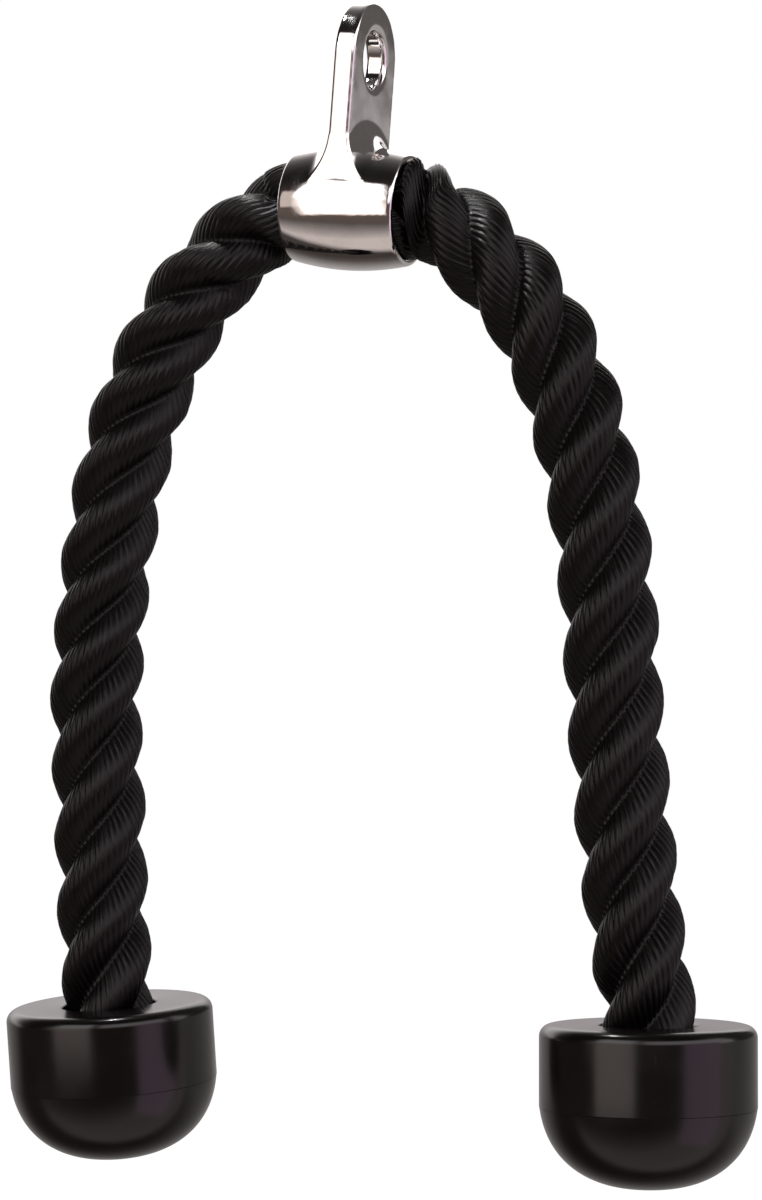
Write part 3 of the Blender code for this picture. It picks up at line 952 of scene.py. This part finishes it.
@dataclass
class Hanger:
    """The chromed casting: an eye tab that grows out of a short sleeve."""

    sleeve: Sleeve = field(default_factory=Sleeve)
    eye_radius: float = 0.00875
    eye_round: float = 0.0014
    head_radius: float = 0.0175
    thickness: float = 0.0070
    edge_round: float = 0.0011
    fillet: float = 0.0090
    fillet_sink: float = 0.0002
    bore_radius: float = 0.0148
    wall: float = 0.0024
    belly: float = 0.0020
    rim_round: float = 0.00115
    overrun: float = 0.0020
    voxel: float = 0.00040
    polish_passes: int = 10
    steps: int = 128
    edge_segments: int = 4
    edge_limit: float = math.radians(50)
    fillet_steps: int = 24
    belly_steps: int = 24
    rim_steps: int = 6

    @property
    def half(self) -> float:
        """Half the sleeve's length."""
        return self.sleeve.length / 2

    @property
    def on_sleeve(self) -> Matrix:
        """Turns a piece made about Z on to the sleeve's axis, in the hanger's frame."""
        return Matrix.Translation((0, 0, -self.sleeve.drop)) @ ACROSS

    def outer_radius(self, distance: float) -> float:
        """Return the sleeve's outer radius at a distance from its middle."""
        share = distance / (self.half - self.rim_round)
        return self.bore_radius + self.wall + self.belly * (1 - share * share)

    def blade(self, name: str, thickness: float) -> bpy.types.Object:
        """Make a tab: a round head on a straight blade down to the sleeve's axis.

        Args:
            name: The piece's name.
            thickness: Its thickness along the sleeve.

        Returns:
            The tab.
        """
        Bench.clear()
        bpy.ops.mesh.primitive_cylinder_add(
            vertices=self.steps,
            radius=self.head_radius,
            depth=thickness,
            rotation=(0, math.pi / 2, 0),
        )
        obj = bpy.context.object
        obj.name = name
        bpy.ops.object.transform_apply(location=True, rotation=True, scale=True)
        bpy.ops.object.mode_set(mode="EDIT")
        bpy.ops.mesh.select_all(action="SELECT")
        bpy.ops.mesh.bisect(
            plane_co=(0, 0, 0), plane_no=(0, 0, 1), use_fill=True, clear_inner=True
        )
        bpy.ops.object.mode_set(mode="OBJECT")
        for face in obj.data.polygons:
            face.select = face.normal.z < -0.9 and abs(face.center.z) < self.edge_round
        bpy.ops.object.mode_set(mode="EDIT")
        bpy.ops.mesh.select_mode(type="FACE")
        step = (0, 0, -self.sleeve.drop)
        bpy.ops.mesh.extrude_region_move(TRANSFORM_OT_translate={"value": step})
        bpy.ops.object.mode_set(mode="OBJECT")
        return obj

    def tab(self) -> bpy.types.Object:
        """Make the tab, with its edges rounded.

        Returns:
            The tab.
        """
        obj = self.blade("hanger_casting", self.thickness)
        Bench.modify(
            obj,
            "BEVEL",
            width=self.edge_round,
            segments=self.edge_segments,
            limit_method="ANGLE",
            angle_limit=self.edge_limit,
        )
        return obj

    def web(self) -> bpy.types.Object:
        """Make the fillets between the tab's faces and the sleeve.

        Returns:
            Both fillets as one solid, with the tab's foot in it.
        """
        middle = self.thickness / 2
        foot = self.outer_radius(middle + self.fillet) - self.fillet_sink
        centre = (foot + self.fillet, middle + self.fillet)
        upper = [(0.0, middle + self.fillet)]
        upper += arc(centre, self.fillet, 180, 270, self.fillet_steps)
        profile = upper + [(radius, -height) for radius, height in reversed(upper)]
        fillets = Bench.turned("fillets", profile, self.steps, False)
        Bench.place(fillets, self.on_sleeve)
        web = self.blade("web", (middle + self.fillet + self.overrun) * 2)
        Bench.combine(web, fillets, "INTERSECT")
        return web

    def barrel(self) -> bpy.types.Object:
        """Make the sleeve's outside, full, with a slight belly.

        Returns:
            The barrel.
        """
        edge, flat = self.rim_round, self.half - self.rim_round
        rim = self.bore_radius + self.wall - edge
        profile = [(0.0, self.half)] + arc((rim, flat), edge, 90, 0, self.rim_steps)
        for i in range(1, self.belly_steps):
            distance = flat * (1 - 2 * i / self.belly_steps)
            profile.append((self.outer_radius(distance), distance))
        profile += arc((rim, -flat), edge, 0, -90, self.rim_steps) + [(0.0, -self.half)]
        barrel = Bench.turned("barrel", profile, self.steps, False)
        Bench.place(barrel, self.on_sleeve)
        return barrel

    def cutter(self, name: str, radius: float, edge: float, half: float) -> bpy.types.Object:
        """Make a turned cutter whose ends open out in a round edge.

        Args:
            name: Its name.
            radius: The hole's radius.
            edge: The radius of the hole's edge.
            half: Half the depth of the hole.

        Returns:
            The cutter.
        """
        upper = [(0.0, half + self.overrun), (radius + edge, half + self.overrun)]
        upper += arc((radius + edge, half - edge), edge, 90, 180, self.rim_steps)
        profile = upper + [(wide, -height) for wide, height in reversed(upper)]
        return Bench.turned(name, profile, self.steps, False)

    def build(self) -> None:
        """Make the casting and polish it."""
        casting = self.tab()
        eye = self.cutter("eye", self.eye_radius, self.eye_round, self.thickness / 2)
        Bench.place(eye, ACROSS)
        Bench.combine(casting, eye, "DIFFERENCE")
        Bench.combine(casting, self.web(), "UNION")
        Bench.combine(casting, self.barrel(), "UNION")
        bore = self.cutter("bore", self.bore_radius, self.rim_round, self.half)
        Bench.place(bore, self.on_sleeve)
        Bench.combine(casting, bore, "DIFFERENCE")
        Bench.place(casting, self.sleeve.turn)
        Bench.modify(casting, "REMESH", mode="VOXEL", voxel_size=self.voxel, use_smooth_shade=True)
        Bench.modify(casting, "SMOOTH", factor=0.5, iterations=self.polish_passes)
        Bench.pick(casting)
        bpy.ops.object.shade_smooth()
        wear(casting, CHROME)
        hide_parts("hanger")
        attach(casting, "hanger")
        LOG.info("%s: %d faces", casting.name, len(casting.data.polygons))


# The end stops


@dataclass
class EndStop:
    """One bell-shaped end stop: a bored body over a domed cap, with its hardware inside."""

    leg: RopeLeg
    radius: float = 0.0327
    top_round: float = 0.0036
    bore_round: float = 0.0012
    bore_radius: float = 0.0148
    body_height: float = 0.0246
    shoulder: float = 0.0090
    cavity_radius: float = 0.0242
    gap: float = 0.0003
    seam_gap: float = 0.00003
    cap_height: float = 0.0242
    cap_full_depth: float = 0.0310
    cap_set_in: float = 0.0001
    cap_wall: float = 0.0050
    spigot_length: float = 0.0050
    spigot_wall: float = 0.0030
    seam_round: float = 0.00010
    corner_reach: float = 1.6
    dome_power: float = 2.4
    dome_steps: int = 40
    corner_steps: int = 16
    seam_steps: int = 5
    bore_steps: int = 8
    steps: int = 144
    smooth_limit: float = math.radians(32)

    def body_profile(self) -> list[Point]:
        """Lay out the body's profile.

        Returns:
            Its top face, rounded corner, wall, seam, cavity and bore.
        """
        edge, corner, seam = self.bore_round, self.top_round, self.seam_round
        foot = -self.body_height
        profile = [(self.bore_radius + edge, 0.0), (self.radius - corner * self.corner_reach, 0.0)]
        profile += arc((self.radius - corner, -corner), corner, 90, 0, self.corner_steps)
        profile += arc((self.radius - seam, foot + seam), seam, 0, -90, self.seam_steps)
        profile += [(self.cavity_radius, foot), (self.cavity_radius, -self.shoulder)]
        profile += [(self.bore_radius, -self.shoulder)]
        profile += arc((self.bore_radius + edge, -edge), edge, 180, 90, self.bore_steps)[:-1]
        return profile

    def dome(self, radius: float, height: float, seam: float) -> list[Point]:
        """Lay out a dome's profile.

        Args:
            radius: Its radius at the seam.
            height: Its height.
            seam: The seam's height.

        Returns:
            The profile from the seam down to the pole.
        """
        full_depth = height * self.cap_full_depth / self.cap_height
        cut = 1 - height / full_depth
        full_radius = radius / (1 - cut**self.dome_power) ** (1 / self.dome_power)
        start = math.asin(cut ** (self.dome_power / 2))
        points = [(radius, seam)]
        for i in range(1, self.dome_steps):
            angle = start + (math.pi / 2 - start) * i / self.dome_steps
            across = math.cos(angle) ** (2 / self.dome_power)
            down = math.sin(angle) ** (2 / self.dome_power) - cut
            points.append((full_radius * across, seam - full_depth * down))
        points.append((0.0, seam - height))
        return points

    def cap_profile(self) -> list[Point]:
        """Lay out the cap's profile.

        Returns:
            Its inside, spigot, seam face and the outside of its dome.
        """
        seam = -self.body_height - self.seam_gap
        top = seam + self.seam_gap + self.spigot_length
        outer = self.cavity_radius - self.gap
        bore = outer - self.spigot_wall
        inner = self.dome(bore, self.cap_height - self.cap_wall, seam)
        rim = [(bore, top), (outer, top), (outer, seam)]
        skin = self.dome(self.radius - self.cap_set_in, self.cap_height, seam)
        corner = [(skin[0][0] - self.seam_round, seam), (skin[0][0], seam - self.seam_round)]
        below = [point for point in skin[1:] if point[1] < seam - self.seam_round]
        return list(reversed(inner)) + rim + corner + below

    def piece(self, node: str, profile: list[Point], closed: bool) -> None:
        """Turn one moulding and seat it in place of its node.

        Args:
            node: The last word of its node's name.
            profile: Its profile.
            closed: True where the profile closes on itself.
        """
        word = self.leg.side.word
        obj = Bench.turned(word + "_" + node, profile, self.steps, closed)
        Bench.place(obj, self.leg.stop_place)
        Bench.smooth(obj, self.smooth_limit)
        wear(obj, RUBBER)
        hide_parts(word + "_stop_" + node)
        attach(obj, word + "_leg")
        LOG.info("%s: %d faces", obj.name, len(obj.data.polygons))

    def build(self, nodes: dict[str, bpy.types.Object]) -> None:
        """Make the stop's two mouldings, and finish the hardware in it.

        Args:
            nodes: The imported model's nodes.
        """
        self.piece("body", self.body_profile(), True)
        self.piece("cap", self.cap_profile(), False)
        word = self.leg.side.word
        wear(nodes[word + "_washer"], ZINC)
        wear(nodes[word + "_ferrule"], STEEL)


# The studio


@dataclass(frozen=True)
class Panel:
    """A lit or dark patch of the studio, as the chrome sees it, by direction in degrees."""

    azimuth: Point
    elevation: Point
    soft: float
    colour: Triple
    strength: float = 1.0


@dataclass(frozen=True)
class Lamp:
    """A large soft lamp that points at the object and isn't mirrored in it."""

    name: str
    azimuth: float
    elevation: float
    watts: float
    size: float = 1.2
    distance: float = 1.6
    aim: Triple = (0.0, 0.0, -0.17)

    def build(self) -> None:
        """Stand the lamp in its place."""
        data = bpy.data.lights.new(self.name, "AREA")
        data.size = self.size
        data.energy = self.watts
        obj = Bench.show(self.name, data)
        a, e = math.radians(self.azimuth), math.radians(self.elevation)
        back = Vector((math.sin(a) * math.cos(e), -math.cos(a) * math.cos(e), math.sin(e)))
        obj.location = Vector(self.aim) + back * self.distance
        obj.rotation_euler = back.to_track_quat("Z", "Y").to_euler()
        obj.visible_glossy = False


LAMPS = (Lamp("key_lamp", -25, 35, 10.0), Lamp("fill_lamp", 75, 20, 4.0))
PANELS = (
    Panel((-50, -39), (-2, 24), 2.5, (0.62, 0.52, 0.47)),
    Panel((-40, 3), (-15, 43), 2.5, (1.0, 0.86, 0.80), 1.6),
    Panel((-40, 3), (14, 43), 4.0, (1.0, 0.97, 0.96), 2.6),
    Panel((12, 112), (8, 38), 5.0, (1.0, 0.92, 0.96), 2.0),
    Panel((55, 99), (-45, 12), 3.0, (0.94, 0.68, 0.86)),
    Panel((120, 175), (4.6, 60), 1.5, (0.11, 0.10, 0.095)),
    Panel((120, 175), (-20, 4.6), 1.5, (0.38, 0.36, 0.35)),
)
# The room's tone by the angle over the horizon: 0 is the front, 90 the top and 180 the back.
TONES = (
    (-180, 0.52, 0.47, 0.48), (-156, 0.39, 0.37, 0.36), (-144, 0.31, 0.29, 0.28),
    (-120, 0.095, 0.080, 0.074), (-108, 0.052, 0.042, 0.038), (-60, 0.070, 0.056, 0.050),
    (-36, 0.100, 0.076, 0.066), (-10, 0.120, 0.090, 0.078), (0, 0.092, 0.070, 0.062),
    (48, 0.024, 0.018, 0.017), (60, 0.013, 0.011, 0.011), (72, 0.016, 0.014, 0.014),
    (84, 0.032, 0.029, 0.028), (96, 0.065, 0.058, 0.056), (108, 0.13, 0.12, 0.115),
    (114, 0.22, 0.20, 0.195), (120, 0.37, 0.34, 0.33), (130, 0.80, 0.77, 0.76),
    (138, 1.90, 1.83, 1.80), (156, 1.90, 1.83, 1.80), (165, 1.00, 0.95, 0.95),
    (173, 0.62, 0.56, 0.58), (180, 0.52, 0.47, 0.48),
)


@dataclass
class Studio:
    """The camera, the lamps, the surroundings and the floor."""

    azimuth: float = 21.5
    camera_place: Triple = (0.41509, -1.04025, -0.17633)
    pitch: float = 0.474
    lens: float = 108.75
    sensor: float = 36.0
    clip: Point = (0.05, 60.0)
    floor_height: float = -0.90
    floor_size: float = 14.0
    floor_shift: float = 3.0
    floor_grid: int = 8
    soft_level: float = 0.75
    pool_colour: Triple = (0.60, 0.52, 0.49)
    pool_slant: float = 0.45
    pool_edge: float = 0.11
    pool_soft: float = 0.15
    pool_beyond: float = 0.06
    pool_near: float = 0.50
    pool_fade: float = 1.6
    pool_flattest: float = 0.02
    pool_horizon: Point = (-0.06, -0.02)
    spot_place: Triple = (-0.098, -0.022, 0.230)
    spot_size: Point = (0.016, 0.050)
    spot_watts: float = 0.70

    def camera(self) -> None:
        """Make the camera at the photograph's place and angle."""
        data = bpy.data.cameras.new("camera")
        data.lens = self.lens
        data.sensor_width = self.sensor
        data.sensor_fit = "AUTO"
        data.clip_start, data.clip_end = self.clip
        obj = Bench.show("camera", data)
        obj.location = self.camera_place
        obj.rotation_euler = (math.radians(90 + self.pitch), 0, math.radians(self.azimuth))
        bpy.context.scene.camera = obj

    def spot(self) -> None:
        """Hang the small lamp over the hanger, which lights the backs of the upper strands."""
        data = bpy.data.lights.new("top_lamp", "AREA")
        data.shape = "RECTANGLE"
        data.size, data.size_y = self.spot_size
        data.energy = self.spot_watts
        obj = Bench.show("top_lamp", data)
        obj.location = self.spot_place
        obj.visible_camera = False

    def surroundings(self) -> None:
        """Make the world: white to the camera, a soft plain light, and a studio in reflections."""
        world = bpy.data.worlds.new("studio")
        bpy.context.scene.world = world
        world.use_nodes = True
        desk = NodeDesk(world.node_tree)
        x, y, z = desk.add("SeparateXYZ", {0: desk.add("TexCoord").outputs["Generated"]}).outputs
        ahead = desk.maths("MULTIPLY", y, -1.0)
        over = desk.degrees(desk.maths("ARCTAN2", z, ahead))
        azimuth = desk.degrees(desk.maths("ARCTAN2", x, ahead))
        elevation = desk.degrees(desk.maths("ARCSINE", z))
        room = self.pool(desk, x, y, z, self.bands(desk, over))
        for panel in PANELS:
            across = self.window(desk, azimuth, panel.azimuth, panel.soft)
            upright = self.window(desk, elevation, panel.elevation, panel.soft)
            colour = tuple(part * panel.strength for part in panel.colour)
            room = desk.blend(desk.maths("MULTIPLY", across, upright), room, colour)
        path = desk.add("LightPath")
        mirrored = desk.add("Background", {"Color": room}).outputs[0]
        plain = desk.add("Background", {"Color": WHITE, "Strength": self.soft_level}).outputs[0]
        white = desk.add("Background", {"Color": WHITE}).outputs[0]
        lit = desk.mixed(path.outputs["Is Glossy Ray"], plain, mirrored)
        desk.add("OutputWorld", {"Surface": desk.mixed(desk.seen(path), lit, white)})

    def pool(self, desk: NodeDesk, x: Socket, y: Socket, z: Socket, room: Socket) -> Socket:
        """Lay the pool of light on the floor in front of the object, with a slanting far edge.

        Args:
            desk: The world's tree.
            x: The direction's X.
            y: The direction's Y.
            z: The direction's Z.
            room: The room without it.

        Returns:
            The room with it.
        """
        depth = desk.maths("MAXIMUM", desk.maths("MULTIPLY", z, -1.0), self.pool_flattest)
        across = desk.maths("DIVIDE", x, depth)
        away = desk.maths("DIVIDE", y, depth)
        edge = desk.maths("SUBTRACT", away, desk.maths("MULTIPLY", across, self.pool_slant))
        low, high = self.pool_edge - self.pool_soft, self.pool_edge + self.pool_soft
        lit = desk.remap(edge, low, high, 1.0, self.pool_beyond, True)
        past = desk.maths("SUBTRACT", desk.maths("MULTIPLY", away, -1.0), self.pool_near)
        fall = desk.maths("MULTIPLY", desk.maths("MAXIMUM", past, 0.0), -self.pool_fade)
        lit = desk.maths("MULTIPLY", lit, desk.maths("EXPONENT", fall))
        lit = desk.maths("MULTIPLY", lit, desk.remap(z, *self.pool_horizon, 1.0, 0.0))
        return desk.blend(1.0, room, desk.blend(lit, BLACK, self.pool_colour), "LIGHTEN")

    @staticmethod
    def window(desk: NodeDesk, value: Socket, span: Point, soft: float) -> Socket:
        """Tell whether a value is inside a span, with soft edges.

        Args:
            desk: The world's tree.
            value: What is tested.
            span: The span.
            soft: The width of its edges.

        Returns:
            1 inside the span and 0 outside it.
        """
        rise = desk.remap(value, span[0] - soft, span[0] + soft, 0, 1, True)
        fall = desk.remap(value, span[1] - soft, span[1] + soft, 1, 0, True)
        return desk.maths("MULTIPLY", rise, fall)

    @staticmethod
    def bands(desk: NodeDesk, over: Socket) -> Socket:
        """Give the room its tone by the angle over the horizon.

        Args:
            desk: The world's tree.
            over: The angle, in degrees.

        Returns:
            The tone.
        """
        ramp = desk.add("ValToRGB", {0: desk.remap(over, -180, 180, 0, 1)})
        elements = ramp.color_ramp.elements
        elements[0].position = 0.0
        elements[-1].position = 1.0
        while len(elements) < len(TONES):
            elements.new(0.5)
        for element, (angle, red, green, blue) in zip(elements, TONES):
            element.position = (angle + 180) / 360
            element.color = (red, green, blue, 1.0)
        return ramp.outputs[0]

    def floor(self) -> None:
        """Make the pale floor, far enough below to be plain white in the picture."""
        Bench.clear()
        bpy.ops.mesh.primitive_grid_add(
            x_subdivisions=self.floor_grid,
            y_subdivisions=self.floor_grid,
            size=self.floor_size,
            location=(0, self.floor_shift, self.floor_height),
        )
        floor = bpy.context.object
        floor.name = "floor"
        bpy.ops.object.transform_apply(location=True, rotation=True, scale=True)
        wear(floor, PAPER)
        floor.visible_glossy = False

    def build(self) -> None:
        """Set up the whole studio."""
        bpy.context.scene.view_settings.view_transform = "Standard"
        self.camera()
        self.surroundings()
        for lamp in LAMPS:
            lamp.build()
        self.spot()
        self.floor()


LEFT_LEG = RopeLeg(
    side=Side.LEFT,
    route=[
        (-0.0315, -0.0448), (-0.0374, -0.0483), (-0.0456, -0.0570), (-0.0570, -0.0697),
        (-0.0682, -0.0870), (-0.0760, -0.1040), (-0.0816, -0.1202), (-0.0852, -0.1364),
        (-0.0881, -0.1530), (-0.0906, -0.1750), (-0.0921, -0.2000), (-0.0912, -0.2250),
        (-0.0902, -0.2500), (-0.0893, -0.2720), (-0.0875, -0.2949),
    ],
    stop_lean=-2.5,
    stop_tilt=3.5,
    lay_length=0.0672,
    first_groove=-44.0,
    extra_turns=[
        (0.0, 0.0), (0.055, -4.0), (0.10, 0.0), (0.14, -5.0), (0.18, 4.0), (0.22, 3.0),
        (0.28, -1.0),
    ],
    swell=[(0.0, 1.0), (0.009, 1.0), (0.020, 1.015), (0.270, 1.015), (0.283, 1.0)],
    sag=[(0.0, 0.0), (0.0090, 0.0), (0.0135, 0.0022), (0.030, 0.0022), (0.045, 0.0)],
)
RIGHT_LEG = RopeLeg(
    side=Side.RIGHT,
    route=[
        (0.0244, -0.0492), (0.0293, -0.0524), (0.0366, -0.0592), (0.0460, -0.0683),
        (0.0546, -0.0794), (0.0616, -0.0924), (0.0674, -0.1067), (0.0717, -0.1220),
        (0.0750, -0.1375), (0.0773, -0.1530), (0.0792, -0.1720), (0.0807, -0.1950),
        (0.0825, -0.2201), (0.0849, -0.2452), (0.0880, -0.2707), (0.0913, -0.2945),
    ],
    stop_lean=-0.5,
    stop_tilt=-1.5,
    lay_length=0.0678,
    first_groove=58.6,
    extra_turns=[
        (0.0, -94.0), (0.0112, -94.0), (0.0188, -11.0), (0.024, -10.0), (0.06, -8.0), (0.11, 10.0),
        (0.165, 7.0), (0.22, -6.0), (0.28, -4.0),
    ],
    swell=[
        (0.0, 1.0), (0.0092, 1.0), (0.0110, 1.03), (0.0140, 1.0), (0.0195, 0.99), (0.035, 1.025),
        (0.265, 1.025), (0.279, 1.0),
    ],
    crown=[
        (0.0, 0.0), (0.0087, 0.0), (0.0095, 0.41), (0.0108, 0.40), (0.0126, 0.25), (0.0142, 0.10),
        (0.0160, 0.02), (0.0185, 0.0), (1.0, 0.0),
    ],
)


def main() -> None:
    """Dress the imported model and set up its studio."""
    logging.basicConfig(level=logging.INFO, format="%(name)s: %(message)s")
    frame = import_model()
    Studio().build()
    for leg in (LEFT_LEG, RIGHT_LEG):
        leg.build()
        EndStop(leg).build(frame["nodes"])
    RopeCore().build()
    Hanger().build()


if __name__ == "__main__":
    main()
